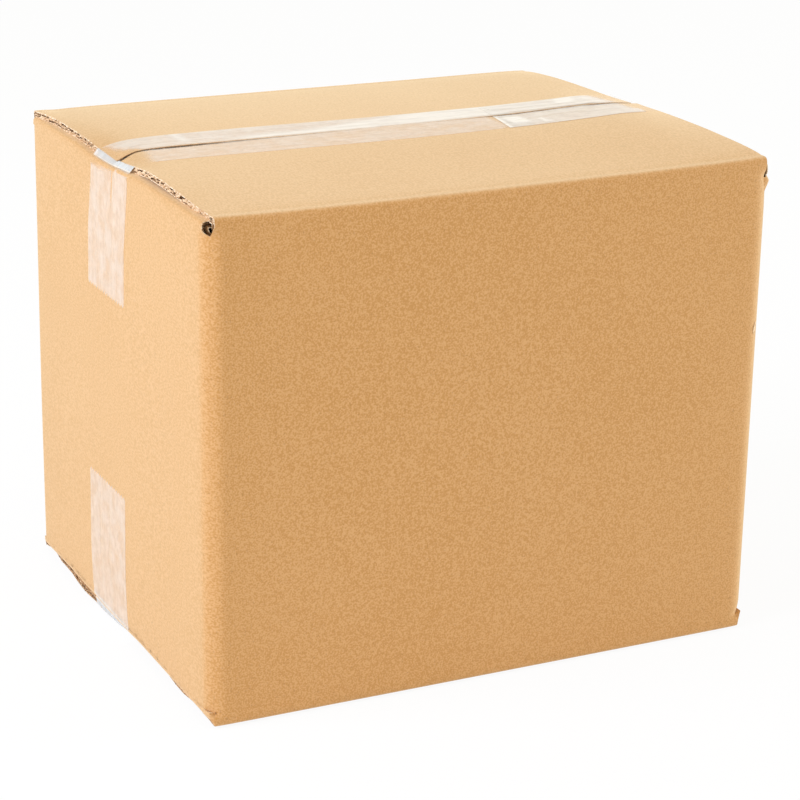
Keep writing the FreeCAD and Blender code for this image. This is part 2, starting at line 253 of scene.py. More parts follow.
# Heights over this level, from the seam outwards in each line
LEVEL = 210
NEAR_ROOF = (
    (5.7, 6.8, 8.8, 10.4, 10.0, 9.3, 8.5, 8.3, 7.9),
    (8.0, 8.6, 9.4, 10.3, 10.0, 9.3, 8.5, 8.3, 7.9),
    (9.9, 9.9, 10.0, 10.3, 9.9, 9.3, 8.5, 8.2, 7.8),
    (10.0, 10.2, 10.2, 10.2, 9.8, 9.3, 8.5, 8.1, 7.6),
    (9.9, 10.2, 10.3, 10.1, 9.6, 9.1, 8.4, 8.0, 7.4),
    (10.2, 10.3, 10.2, 9.8, 9.2, 8.6, 8.0, 7.8, 7.3),
    (10.8, 10.6, 10.4, 10.0, 9.4, 8.8, 8.2, 8.0, 7.6),
    (10.9, 11.2, 11.4, 11.1, 10.4, 9.6, 8.9, 8.6, 8.1),
    (12.0, 12.5, 12.7, 12.5, 12.0, 11.2, 10.2, 9.6, 8.6),
    (11.9, 12.1, 12.2, 12.1, 11.8, 11.2, 10.4, 9.9, 9.0),
    (10.9, 11.2, 11.6, 11.8, 11.7, 11.3, 10.8, 10.4, 9.4),
)
FAR_ROOF = (
    (4.9, 5.5, 6.2, 7.3, 7.5, 7.4, 7.0, 6.9, 6.5),
    (7.1, 7.2, 7.3, 7.9, 8.0, 7.8, 7.2, 7.0, 6.6),
    (9.6, 9.1, 8.4, 8.6, 8.4, 8.0, 7.1, 6.6, 6.0),
    (10.3, 9.8, 9.3, 9.2, 8.8, 8.3, 7.5, 7.0, 6.3),
    (10.6, 10.2, 9.9, 9.6, 9.2, 8.6, 7.7, 7.2, 6.4),
    (10.6, 10.4, 10.2, 9.9, 9.3, 8.6, 7.7, 7.1, 6.4),
    (10.7, 10.5, 10.1, 9.7, 9.1, 8.4, 7.6, 7.0, 6.4),
    (11.3, 10.8, 10.4, 9.9, 9.2, 8.4, 7.6, 7.0, 6.4),
    (12.6, 11.9, 11.3, 10.7, 9.9, 9.1, 8.2, 7.6, 6.6),
    (12.1, 11.3, 10.7, 10.4, 9.9, 9.2, 8.3, 7.6, 6.5),
    (11.0, 10.5, 10.2, 10.1, 9.8, 9.1, 8.1, 7.3, 6.2),
)


def blurred(table, spread, axis):
    """A table rounded off along one axis with a bell-shaped window."""
    reach = int(3 * spread)
    window = np.exp(-0.5 * (np.arange(-reach, reach + 1) / spread) ** 2)
    window /= window.sum()
    margins = [(0, 0)] * table.ndim
    margins[axis] = (reach, reach)
    wide = np.pad(table, margins, mode="edge")
    return np.apply_along_axis(lambda line: np.convolve(line, window, "valid"), axis, wide)


class Heights:
    """A smooth surface over the millimetre grid, from a small table of heights."""

    def __init__(self, table):
        self.start = -132
        along = np.arange(self.start, -self.start + 1)
        aside = np.arange(0, 113)
        lines = np.array([np.interp(aside, ACROSS, line) for line in table])
        grid = np.array([np.interp(along, STATIONS, column) for column in lines.T]).T
        self.grid = LEVEL + blurred(blurred(grid, 2.4, 0), 3.0, 1)

    def __call__(self, along, aside):
        i = np.clip(np.asarray(along, float) - self.start, 0, self.grid.shape[0] - 1.001)
        j = np.clip(np.asarray(aside, float), 0, self.grid.shape[1] - 1.001)
        i, j = np.broadcast_arrays(i, j)
        row, column = i.astype(int), j.astype(int)
        p, q = i - row, j - column
        g = self.grid
        return ((1 - p) * (1 - q) * g[row, column] + p * (1 - q) * g[row + 1, column]
                + (1 - p) * q * g[row, column + 1] + p * q * g[row + 1, column + 1])


def step(low, high, value):
    """A smooth step from 0 to 1 as value goes from low to high."""
    t = np.clip((value - low) / (high - low), 0, 1)
    return t * t * (3 - 2 * t)


SCORE_DEPTH = 0.12
SCORE_INSET = 5.2
SCORE_WIDTH = 1.3
near_roof = Heights(NEAR_ROOF)
far_roof = Heights(FAR_ROOF)


def alike(first, second):
    """Two values as arrays of one shape."""
    return np.broadcast_arrays(np.asarray(first, float), np.asarray(second, float))


def across_seam(x, y, soft):
    """Height of the top flaps, taken smoothly from the near one to the far one."""
    side = step(-soft, soft, y)
    return (1 - side) * near_roof(x, np.maximum(-y, 0)) + side * far_roof(x, np.maximum(y, 0))


def roof(x, y):
    """Outer face of the top long flaps, with the shallow score just inside their folds."""
    x, y = alike(x, y)
    height = np.where(y < 0, near_roof(x, -y), far_roof(x, y))
    return height - SCORE_DEPTH * np.exp(-((HALF_WIDTH - SCORE_INSET - np.abs(y)) / SCORE_WIDTH) ** 2)


print("roof at the left end, middle and right end of the seam:",
      [round(float(roof(x, -1.0)), 2) for x in (-125, 0, 125)])

# %% [markdown]
# The end flaps lie under the long ones, one board lower. Their folds are the crests that show at
# the ends of the box, and they are given as lines of their own. Underneath, the long flaps lie on
# the floor and the end flaps on top of them.

# %% Heights of the end flaps and of the bottom
BOARD = 3.0
LINER = 0.4
LAP = 0.25
FLOOR_GAP = 0.12
CREST_Y = (-112, -104, -96, -84, -70, -52, -35, -21, 2, 15, 29, 45, 68, 92, 112)
LEFT_CREST = (215.0, 215.8, 216.1, 216.2, 216.3, 216.3, 216.2, 215.8, 214.2, 213.8, 213.8, 214.8,
              214.6, 214.2, 213.8)
RIGHT_CREST = (215.6, 216.6, 217.8, 218.4, 218.9, 219.2, 219.2, 218.8, 217.7, 217.2, 217.1, 217.2,
               217.0, 215.8, 214.0)
SILL_Y = (-112, -96, -60, -23, -10, 23, 32, 47, 62, 80, 96, 112)
LEFT_SILL = (3.2, 3.4, 3.7, 4.0, 3.4, 3.5, 3.9, 3.6, 4.1, 3.9, 3.4, 3.1)


def end_roof(x, y):
    """Outer face of the top end flaps, up to the crests of their folds."""
    x, y = alike(x, y)
    crest = np.where(x < 0, np.interp(y, CREST_Y, LEFT_CREST), np.interp(y, CREST_Y, RIGHT_CREST))
    inside = np.minimum(across_seam(x, y, 7), across_seam(np.clip(x, -110, 110), y, 7)) - BOARD - LAP
    return inside + (crest - inside) * step(112, 124.5, np.abs(x))


def base(x, y):
    """Outer face of the bottom long flaps: on the floor but for their folds."""
    x, y = alike(x, y)
    return FLOOR_GAP + 0.35 * step(72, 106, np.abs(y))


def end_base(x, y):
    """Outer face of the bottom end flaps."""
    x, y = alike(x, y)
    sill = np.where(x < 0, np.interp(y, SILL_Y, LEFT_SILL), 3.6)
    inside = FLOOR_GAP + BOARD + LAP
    return inside + (sill - inside) * step(100, 124, np.abs(x))


print("left crest, lowest and highest:", min(LEFT_CREST), max(LEFT_CREST))

# %% [markdown]
# ## The blank and its folds
#
# Corrugated board bends along creases: the panels turn round four upright corners, and each flap
# turns in over the edge of its panel. One way is a box with bevels. Here the blank is folded as in
# the real thing: a point of the blank is known by its panel, its place along the panel, its row
# from the bottom flap's free edge to the top flap's, and its depth in the board. The function below
# puts such a point in space. Outer paper, inner paper and flutes all go through it.
#
# The near upright creases are wide and soft, the far ones tighter. A flap's fold is squarish
# outside, where the liner was scored, and round inside. The panels bulge a little, a knock has
# crushed the right panel under its near corner, and the whole box leans to the right.

# %% Panels
FOLD = 3.5
END_SHARPNESS, LONG_SHARPNESS = 4.5, 3.6
SLOT_TOP = 210.0
SLOT_LOW = 6.2
TAB_LENGTH = 32.0
TAB_FACE = HALF_WIDTH - BOARD - 0.1
RAW_EDGE = HALF_LENGTH - 2.4
KNOCK_HEIGHT = 208.0
KNOCK_INSET = 3.0


class Panel:
    """One panel of the blank with its flaps. start and end are the sharp corners of its outer face.

    corners are the radii of its two upright creases, and edges says how far each flap's side edges
    lie in from those corners: (way, end) gives the edge at the slot and a table along the flap.
    bulge is how far its middle stands out, and knock the height of the crushed spot near its end.
    """

    def __init__(self, name, start, end, corners, edges, levels, reach, bulge, knock=0.0):
        self.name = name
        self.start = np.array(start, float)
        along = np.array(end, float) - self.start
        self.length = float(np.hypot(*along))
        self.along = along / self.length
        self.inward = np.array((self.along[1], -self.along[0]))
        self.corners = corners
        self.edges = edges
        self.roof, self.base = levels
        self.reach = reach
        self.bulge = bulge
        self.knock = knock
        self.low, self.high = (radius * (1 - math.pi / 4) for radius in corners)

    def spot(self, u, n):
        """x and y of a point u along the panel and n inwards of its outer face."""
        u, n = np.broadcast_arrays(u, n)
        return (self.start[0] + self.along[0] * u + self.inward[0] * n,
                self.start[1] + self.along[1] * u + self.inward[1] * n)

    def turned(self, a, depth):
        """Place along and inwards of blank coordinate a, round the corner arcs at both ends."""
        a, depth = alike(a, depth)
        u, n = a.copy(), depth.copy()
        for at_start, corner in ((True, self.corners[0]), (False, self.corners[1])):
            if not corner:
                continue
            back = a if at_start else self.length - a
            angle = np.clip((corner - back) / corner, 0, None)
            bent = angle > 0
            radius = corner - depth
            place = corner - radius * np.sin(angle)
            u = np.where(bent, place if at_start else self.length - place, u)
            n = np.where(bent, corner - radius * np.cos(angle), n)
        return u, n

    def bow(self, a, z):
        """How far the panel stands inwards of its flat face; negative is a bulge."""
        gap = np.clip(np.minimum(a - self.low, self.length - self.high - a), 0, None)
        height = np.clip(np.sin(np.pi * np.clip(z, 0, 216) / 216), 0, 1)
        crushed = np.exp(-((z - KNOCK_HEIGHT) / 2.6) ** 2 - ((self.length - a - KNOCK_INSET) / 3.5) ** 2)
        return (-0.30 * (1 - np.exp(-gap / 4))
                - self.bulge * (1 - np.exp(-gap / 45)) * (0.35 + 0.65 * height)
                - self.knock * crushed)


def seam_reach(x):
    """How far a long flap reaches in, which leaves the seam open at both ends."""
    gap = np.interp(x, (-128, -124, -118, -104, -84, -60, 0, 45, 56, 70, 110, 118, 126),
                    (5.4, 5.0, 3.0, 1.7, 0.9, 0.5, 0.3, 0.3, 1.2, 1.6, 1.8, 1.3, 1.0))
    return HALF_WIDTH - gap / 2


LONG_LEVELS = (roof, base)
END_LEVELS = (end_roof, end_base)
END_REACH = 108.0
NEAR_LEFT, NEAR_RIGHT, FAR_CORNER = 8.5, 8.5, 4.5
UP, DOWN = 1, -1
START, END = 0, 1
# Slot and side edge of the flaps that aren't seen from near
ANY = (3.0, ((0, 3.0), (105, 3.2)))
PANELS = [
    Panel("tab", (HALF_LENGTH - TAB_LENGTH, TAB_FACE), (HALF_LENGTH, TAB_FACE),
          (0, FAR_CORNER), {}, END_LEVELS, END_REACH, 0.0),
    Panel("right", (HALF_LENGTH, TAB_FACE), (HALF_LENGTH, -HALF_WIDTH),
          (FAR_CORNER, NEAR_RIGHT),
          {(UP, START): (2.0, ((0, 2.6), (105, 3.4))), (UP, END): (3.2, ((0, 4.5), (105, 5.5)))},
          END_LEVELS, END_REACH, 0.8, knock=2.5),
    Panel("front", (HALF_LENGTH, -HALF_WIDTH), (-HALF_LENGTH, -HALF_WIDTH),
          (NEAR_RIGHT, NEAR_LEFT),
          {(UP, START): (2.6, ((0, 2.8), (105, 3.2))),
           (UP, END): (3.5, ((0, 3.4), (20, 3.0), (105, 3.0))),
           (DOWN, START): (2.0, ((0, 1.0), (20, 2.5), (105, 3.0))),
           (DOWN, END): (2.1, ((0, 2.3), (12, 2.6), (22, 3.3), (32, 2.2), (42, 2.2), (52, 2.8),
                               (62, 3.8), (105, 3.8)))},
          LONG_LEVELS, seam_reach, 0.5),
    Panel("left", (-HALF_LENGTH, -HALF_WIDTH), (-HALF_LENGTH, HALF_WIDTH),
          (NEAR_LEFT, FAR_CORNER),
          {(UP, START): (4.6, ((0, 4.8), (105, 6.0))), (UP, END): (2.2, ((0, 4.0), (105, 5.0))),
           (DOWN, START): (2.0, ((0, 2.4), (10, 4.5), (105, 5.0)))},
          END_LEVELS, END_REACH, 0.6),
    Panel("back", (-HALF_LENGTH, HALF_WIDTH), (RAW_EDGE, HALF_WIDTH),
          (FAR_CORNER, 0),
          {(UP, START): (1.1, ((0, 0.9), (8, 1.8), (20, 3.0), (105, 3.0))),
           (DOWN, START): (1.1, ((0, 3.2), (9, 2.7), (19, 1.7), (30, 2.0), (42, 1.1), (57, 0.1),
                                 (67, 0.7), (84, 0.9), (105, 2.5)))},
          LONG_LEVELS, seam_reach, 0.8),
]
_, right_panel, front_panel, left_panel, back_panel = PANELS


RIGHT_LEAN = 2.5
FOOT_LEAN = 0.9
FAR_LEFT_LEAN = 1.5


def settle(x, y, z):
    """The whole box a little out of square: the right end and the far left corner stand out."""
    right = (x + HALF_LENGTH) / (2 * HALF_LENGTH)
    back = (y + HALF_WIDTH) / (2 * HALF_WIDTH)
    far_left = FAR_LEFT_LEAN - 0.8 * step(60, 210, z)
    near_edge = (1 - np.clip(back, 0, 1)) * (1 - step(196, 216, z))
    right_end = FOOT_LEAN + (RIGHT_LEAN - FOOT_LEAN) * step(3, 12, z)
    lean = (right_end + near_edge) * right - far_left * (1 - right) * back
    return np.stack((x + lean, y + 0 * z, z + 0 * x), axis=-1)


def fold_turn(angle, depth, sharpness):
    """Across and up from a fold's centre at an angle and depth: squarish outside, round inside."""
    power = 2 / sharpness
    share = depth / BOARD
    outside = FOLD * np.cos(angle) ** power, FOLD * np.sin(angle) ** power
    inner = FOLD - BOARD
    inside = inner * np.cos(angle), inner * np.sin(angle)
    return [first * (1 - share) + second * share for first, second in zip(outside, inside)]


def place(panel, row, a, depth):
    """A point of the folded blank. row is (zone, way, share); way is 1 for the top, -1 below."""
    zone, way, share = row
    a, depth = alike(a, depth)
    level = panel.roof if way > 0 else panel.base
    rim = level(*panel.spot(a, FOLD)) - FOLD * way
    slot_end = SLOT_TOP if way > 0 else SLOT_LOW
    if zone == "wall":
        u, n = panel.turned(a, depth)
        z = np.full_like(u, share)
        n = n + panel.bow(a, z)
    elif zone == "rim":
        u, n = panel.turned(a, depth)
        flat = step(0, 1, share)
        u, n = u + (a - u) * flat, n + (depth - n) * flat
        z = slot_end + (rim - slot_end) * share
        n = n + panel.bow(a, z)
    elif zone == "arc":
        sharpness = LONG_SHARPNESS if panel.roof is roof else END_SHARPNESS
        out, up = fold_turn(share * math.pi / 2, depth, sharpness)
        u, n, z = a, FOLD - out + panel.bow(a, rim), rim + up * way
    else:
        reach = panel.reach(panel.spot(a, FOLD)[0]) if callable(panel.reach) else panel.reach
        run = FOLD + share * (reach - FOLD)
        u, n = a, run + panel.bow(a, rim) * (1 - step(0, 40, run))
        z = level(*panel.spot(a, run)) - depth * way
    x, y = panel.spot(u, n)
    return settle(x, y, z)


print("panels:", [(panel.name, round(panel.length, 1)) for panel in PANELS])

# %% [markdown]
# ## Rows and columns
#
# The blank becomes a grid. Rows crowd together at the folds and columns at the corners, where the
# board turns. Above and below the panels the corners are cut away: a slot parts each flap from the
# next. It ends in a point on the corner, so the columns beside it close in to that point from
# below and open out again above it. The bottom corners have closed up under the weight, so the
# first rows there keep their corner cells.

# %% Grid of the blank
FLAP_RUN = np.array((0, 1.2, 2.6, 4.4, 7, 11, 17, 25, 34, 43, 52, 61, 70, 79, 87, 94, 99, 102.4,
                     104.9))
FLAP_SHARES = FLAP_RUN / FLAP_RUN[-1]
ARC_SHARES = np.linspace(0, 1, 8)[1:]
RIM_SHARES = (0.3, 0.62, 1.0)
WALL = np.concatenate(((SLOT_LOW, 7.4, 9.2, 12, 16.5, 22), np.linspace(30, 186, 19),
                       (194, 199.5, 203.5, 206.3, 208.2, 209.4, SLOT_TOP)))
SLOT_POINT = 0.10
FRAY = 0.12
TAB_SLANT = 0.09
CORNER_CELLS = 3
CLOSED_ROWS = 6


def half_rows(way):
    """Rows from the end of a corner slot, over the fold, to the flap's free edge."""
    return ([("rim", way, share) for share in RIM_SHARES]
            + [("arc", way, share) for share in ARC_SHARES]
            + [("flap", way, share) for share in FLAP_SHARES[1:]])


wall_rows = [("wall", UP, height) for height in WALL]
ROWS = half_rows(DOWN)[::-1] + wall_rows + half_rows(UP)
FIRST_WALL = len(half_rows(DOWN))
LAST_WALL = FIRST_WALL + len(wall_rows) - 1

frayed = np.random.default_rng(7)


def flap_edge(panel, row, end):
    """How far a flap's side edge lies in from the panel's corner, on the fold and along the flap."""
    zone, way, share = row
    slot, table = panel.edges.get((way, end), ANY)
    point = (panel.high if end else panel.low) + SLOT_POINT
    if zone == "rim":
        return point + (max(slot, point) - point) * share ** (1 if way > 0 else 3)
    inset = float(np.interp(share * FLAP_RUN[-1] if zone == "flap" else 0, *zip(*table)))
    if zone == "arc":
        return max(slot, point) + (inset - max(slot, point)) * share ** (1 if way > 0 else 2)
    return inset


def slot_edge(panel, row, end):
    """Blank coordinate where the corner's cells end in a row, measured from that end of the panel."""
    turn = panel.high if end else panel.low
    if row[0] == "wall":
        gap = min(row[2] - SLOT_LOW, SLOT_TOP - row[2])
        return turn + SLOT_POINT + 2.1 * float(step(0, 12, gap))
    ragged = frayed.uniform(-FRAY, FRAY) if row[0] == "flap" else 0.0
    return flap_edge(panel, row, end) + ragged


def columns(panel, row):
    """Blank coordinates of the grid's points across one panel in one row."""
    length = panel.length
    start_edge, end_edge = slot_edge(panel, row, START), slot_edge(panel, row, END)
    if panel.name == "tab":
        return np.concatenate((np.linspace(0, length - 10, 6),
                               np.linspace(length - 10, length - end_edge, 5)[1:],
                               np.linspace(length - end_edge, length - panel.high, 4)[1:]))
    near = 17.0
    crowd = np.linspace(0, 1, 9) ** 1.5
    middle = np.linspace(near, length - near, int((length - 2 * near) / 8.5) + 1)
    return np.concatenate((
        np.linspace(panel.low, start_edge, 4)[:-1],
        start_edge + (near - start_edge) * crowd[:-1],
        middle,
        length - (end_edge + (near - end_edge) * crowd[:-1])[::-1],
        np.linspace(length - end_edge, length - panel.high, 4)[1:],
    ))


def lay_out(depth):
    """Points of the whole blank at one depth in the board, row by row."""
    lines = []
    for row, spots in zip(ROWS, GRID):
        line = []
        for index, (panel, a) in enumerate(zip(PANELS, spots)):
            points = place(panel, row, a, depth)
            if panel.name == "tab":
                middle = (SLOT_TOP + SLOT_LOW) / 2
                slant = 1 - TAB_SLANT * (1 - a / panel.length)
                points[:, 2] = middle + (points[:, 2] - middle) * slant
            line.append(points[:-1] if index < len(PANELS) - 1 else points)
        lines.append(np.concatenate(line))
    return np.array(lines)


GRID = [[columns(panel, row) for panel in PANELS] for row in ROWS]
widths = [len(spots) for spots in GRID[0]]
starts = np.concatenate(((0,), np.cumsum([width - 1 for width in widths])))

keep = np.ones((len(ROWS) - 1, starts[-1]), bool)
outside = np.r_[0:FIRST_WALL, LAST_WALL:len(ROWS) - 1]
keep[outside, :starts[1]] = False
for line in starts[1:]:
    corner = slice(line - CORNER_CELLS, line + CORNER_CELLS)
    keep[outside, corner] = False
    keep[FIRST_WALL - CLOSED_ROWS:FIRST_WALL, corner] = True
print("grid of the blank:", len(ROWS), "rows,", starts[-1] + 1, "columns,", int(keep.sum()), "cells")

# %% [markdown]
# ## Papers
#
# Each liner is a thin closed sheet: a face outside, a face inside, and a rim of cut paper all round
# where the two meet. A Solidify modifier would do it too, but the two faces are already known at
# their true depths, so the sheet is closed directly and its cut rim gets a finish of its own.


# %% Sheets from grids
SHARP_FROM = math.radians(42)


def closed_sheet(name, upper, lower, keep, materials, index_of=None, rim_of=None, under=None):
    """A thin closed mesh between two grids of points.

    index_of and rim_of choose a cell's finish and its cut rim's, which is the last one by default.
    under is the finish of the lower face, where it differs.
    """
    rows, across = upper.shape[:2]
    number = np.arange(rows * across).reshape(rows, across)
    second = rows * across
    faces, finishes = [], []
    for r, c in np.argwhere(keep):
        quad = [number[r, c], number[r, c + 1], number[r + 1, c + 1], number[r + 1, c]]
        finish = index_of(r, c) if index_of else 0
        faces.append(quad)
        faces.append([corner + second for corner in quad[::-1]])
        finishes += [finish, finish if under is None else under]
    padded = np.pad(keep, 1)
    rim = len(materials) - 1
    for r, c in np.argwhere(keep):
        sides = (((r, c), (r, c + 1), padded[r, c + 1]),
                 ((r, c + 1), (r + 1, c + 1), padded[r + 1, c + 2]),
                 ((r + 1, c + 1), (r + 1, c), padded[r + 2, c + 1]),
                 ((r + 1, c), (r, c), padded[r + 1, c]))
        for first, last, joined in sides:
            if not joined:
                faces.append([number[last], number[first], number[first] + second,
                              number[last] + second])
                finishes.append(rim_of(r, c) if rim_of else rim)
    points = np.concatenate((upper.reshape(-1, 3), lower.reshape(-1, 3))) * MM
    mesh = bpy.data.meshes.new(name)
    mesh.from_pydata(points.tolist(), [], [[int(v) for v in face] for face in faces])
    for material in materials:
        mesh.materials.append(material)
    mesh.polygons.foreach_set("material_index", finishes)
    form = bmesh.new()
    form.from_mesh(mesh)
    bmesh.ops.delete(form, geom=[v for v in form.verts if not v.link_faces], context="VERTS")
    bmesh.ops.recalc_face_normals(form, faces=form.faces)
    form.to_mesh(mesh)
    form.free()
    mesh.shade_smooth()
    mesh.set_sharp_from_angle(angle=SHARP_FROM)
    piece = bpy.data.objects.new(name, mesh)
    bpy.context.scene.collection.objects.link(piece)
    print(name, "has", len(mesh.polygons), "faces")
    return piece


# %% [markdown]
# ## Kraft paper
#
# The board's papers are brown kraft: unbleached fibres, matt, finely mottled, with small darker
# specks and faint clouds, and a pale sheen at a grazing angle from fibres that stand out of the
# surface. The fibres lie mostly one way, so the grain is drawn out along y. The flutes below
# print through as very faint upright waves. A photographed texture would be quick, but noise at
# three scales gives all of it at the right size from any distance. Cut and torn edges and the
# flutes are the same paper in other tones. The dark tones on the cut rims along the seam and below,
# and on the torn edges under the box, are painted shade.


# %% Kraft materials
FLUTE_PITCH = 6.5


def kraft(name, dark, pale, speck_share, sheen):
    """Kraft paper between two tones, with darker specks and a sheen at a grazing angle."""
    material, wires = new_material(name)
    spot = wires.node("ShaderNodeTexCoord", output=3)
    drawn = wires.node("ShaderNodeVectorMath", {"operation": "MULTIPLY"}, {0: spot, 1: (1.0, 0.5, 1.0)})
    grain = drawn.noise(1400.0, 0.6)
    mottle = spot.noise(520.0, 2.0)
    clouds = spot.noise(14.0, 2.0)
    specks = spot.noise(1100.0, 0.0)
    shade = grain * 0.74 + mottle * 0.14 + clouds * 0.12
    colour = shade.between(0.34, 0.66).blend(dark, pale)
    colour = (specks.between(0.70, 0.80) * speck_share).blend(colour, tone(120, 74, 38))
    facing = wires.node("ShaderNodeNewGeometry", output=1).axes()[0]
    on_end = facing.math("ABSOLUTE", facing).between(0.6, 0.8)
    x, y = spot.axes()[:2]
    run = x + (y - x) * on_end
    flutes = run.math("SINE", run * (2 * math.pi / (FLUTE_PITCH * MM)))
    relief = grain * 0.7 + mottle * 0.5 + flutes * 0.10
    bump = wires.node("ShaderNodeBump", sockets={
        "Strength": 0.25, "Distance": 0.00020, "Height": relief})
    shader = wires.node("ShaderNodeBsdfPrincipled", sockets={
        "Base Color": colour,
        "Roughness": mottle.between(0.3, 0.7, 0.72, 0.86),
        "Normal": bump,
        "Specular IOR Level": 0.35,
        "Sheen Weight": sheen,
        "Sheen Roughness": 0.55,
        "Sheen Tint": (1.0, 0.89, 0.63, 1.0)})
    finish(wires, shader)
    return material


outer_kraft = kraft("kraft_board", tone(195, 140, 73), tone(212, 162, 106), 0.22, 0.78)
# The inside paper. On cut rims along the seam and under the box its dark tone is painted shade.
inside_and_shaded_rim_kraft = kraft("kraft_inside", tone(166, 116, 66), tone(208, 160, 108), 0.35, 0.3)
cut_paper = kraft("cut_paper", tone(198, 158, 114), tone(252, 236, 210), 0.7, 0.4)
torn_paper = kraft("torn_paper", tone(186, 144, 98), tone(242, 214, 178), 0.5, 0.3)
# The flutes' paper. On the torn edges under the box its dark tone is painted shade.
worn_paper = kraft("worn_paper", tone(130, 92, 58), tone(214, 178, 136), 0.6, 0.1)
print("papers:", [paper.name for paper in (outer_kraft, inside_and_shaded_rim_kraft, cut_paper, torn_paper, worn_paper)])

# %% [markdown]
# The two liners are made now, each between its two depths in the board. Their cut rims are pale
# where the slots were cut above; along the free edges at the seam and below the box they are the
# dark inside paper, which is painted shade.

# %% Liners
def liner(name, outer, inner, paper):
    """One liner between two depths in the board."""
    # Rims along the free edges and under the box take the dark inside paper: painted shade.
    return closed_sheet(name, lay_out(outer), lay_out(inner), keep, (paper, inside_and_shaded_rim_kraft, cut_paper),
                        rim_of=lambda r, c: 1 if r < FIRST_WALL or r == len(ROWS) - 2 else 2)


outer_liner = liner("outer_liner", 0.0, LINER, outer_kraft)
inner_liner = liner("inner_liner", BOARD - LINER, BOARD, inside_and_shaded_rim_kraft)

# %% [markdown]
# ## Flutes
#
# Between the liners runs the medium, a paper pressed into waves that stand upright in the panels
# and run towards the seam in the flaps. It shows only at cut edges: end-on along the seam, and as
# an open, torn channel along each side edge of the long flaps. It could be drawn as a texture on
# the edge, but the gap is open and catches light, so each flap gets its real waved sheet.
#
# Along the side edges the board is torn: scraps of fibre and flute ends stand between the liners.
# They are a ragged strip in the edge, with holes in it by chance. Under the box they take the dark
# flute paper, which is painted shade.

# %% Flutes of the flaps
WAVES = 6
HALF_MEDIUM = 0.11
torn = np.random.default_rng(11)


def flute_depth(a):
    """Depth in the board of the waved medium."""
    height = BOARD / 2 - LINER - HALF_MEDIUM - 0.05
    return BOARD / 2 + height * np.sin(2 * np.pi * np.asarray(a) / FLUTE_PITCH)


def flap_flutes(panel, way):
    """The waved medium of one flap, from its panel over the fold to the free edge."""
    count = int((panel.length - 6) / FLUTE_PITCH * WAVES)
    upper, lower = [], []
    for row in half_rows(way)[1:]:
        start, end = (flap_edge(panel, row, side) + torn.uniform(0.6, 2.4) for side in (START, END))
        a = np.linspace(start, panel.length - end, count)
        wave = flute_depth(a)
        upper.append(place(panel, row, a, wave - HALF_MEDIUM))
        lower.append(place(panel, row, a, wave + HALF_MEDIUM))
    return np.array(upper), np.array(lower)


TORN_DEPTHS = np.array((0.30, 0.75, 1.25, 1.70, 2.20, 2.75))
SCRAP = 0.2
# For each panel, how likely each band of depth is a hole, and how many rows a hole runs
TEARS = {"front": ((0.16, 0.34, 0.20, 0.42, 0.50), 3), "back": ((0.15, 0.80, 0.12, 0.50, 0.30), 6)}


def torn_edge(panel, way, end):
    """Torn fibres and flute ends between the liners, along one side edge of a long flap."""
    rows = ([("arc", way, share) for share in np.linspace(0.1, 1, 8)]
            + [("flap", way, share) for share in np.linspace(0.01, 1, 120)])
    upper, lower = [], []
    for row in rows:
        edge = flap_edge(panel, row, end) + 0.10 + np.clip(torn.normal(0, 0.28, 6), -0.45, 0.9)
        for sheet, back in ((upper, 0.0), (lower, SCRAP)):
            a = edge + back if end == START else panel.length - edge - back
            sheet.append(place(panel, row, a, TORN_DEPTHS))
    holes, run = TEARS[panel.name]
    whole = torn.random((len(rows) // run + 1, len(TORN_DEPTHS) - 1)) > holes
    keep = np.repeat(whole, run, axis=0)[:len(rows) - 1]
    # Under the box the torn edges take the dark flute paper: painted shade.
    paper = torn_paper if way > 0 else worn_paper
    return closed_sheet(f"torn_{panel.name}_{'low' if way < 0 else 'top'}_{'end' if end else 'start'}",
                        np.array(upper), np.array(lower), keep, (paper, paper))


flute_pieces = []
for panel in PANELS[1:]:
    for way, label in ((UP, "top"), (DOWN, "bottom")):
        upper, lower = flap_flutes(panel, way)
        whole = np.ones((upper.shape[0] - 1, upper.shape[1] - 1), bool)
        flute_pieces.append(closed_sheet(f"flutes_{label}_{panel.name}", upper, lower, whole,
                                         (worn_paper, worn_paper)))
for panel in (front_panel, back_panel):
    for way in (UP, DOWN):
        flute_pieces += [torn_edge(panel, way, end) for end in (START, END)]

# %% [markdown]
# A small pale fleck sits on the near right crease. A spot of paler colour would be flat there, so
# it is a small sheet of its own, just proud of the liner.

# %% Fleck
# Heights, and the columns between which the fleck lies at each
FLECK = ((145.6, 2.6, 3.4), (144.4, 2.4, 4.4), (143.0, 2.9, 4.9), (141.6, 3.6, 4.9), (140.6, 4.4, 4.9))
fleck_faces = [np.array([place(front_panel, ("wall", UP, z), np.linspace(first, last, 4), depth)
                         for z, first, last in FLECK]) for depth in (-0.30, -0.05)]
fleck = closed_sheet("fleck", *fleck_faces, np.ones((len(FLECK) - 1, 3), bool),
                     (torn_paper, torn_paper))
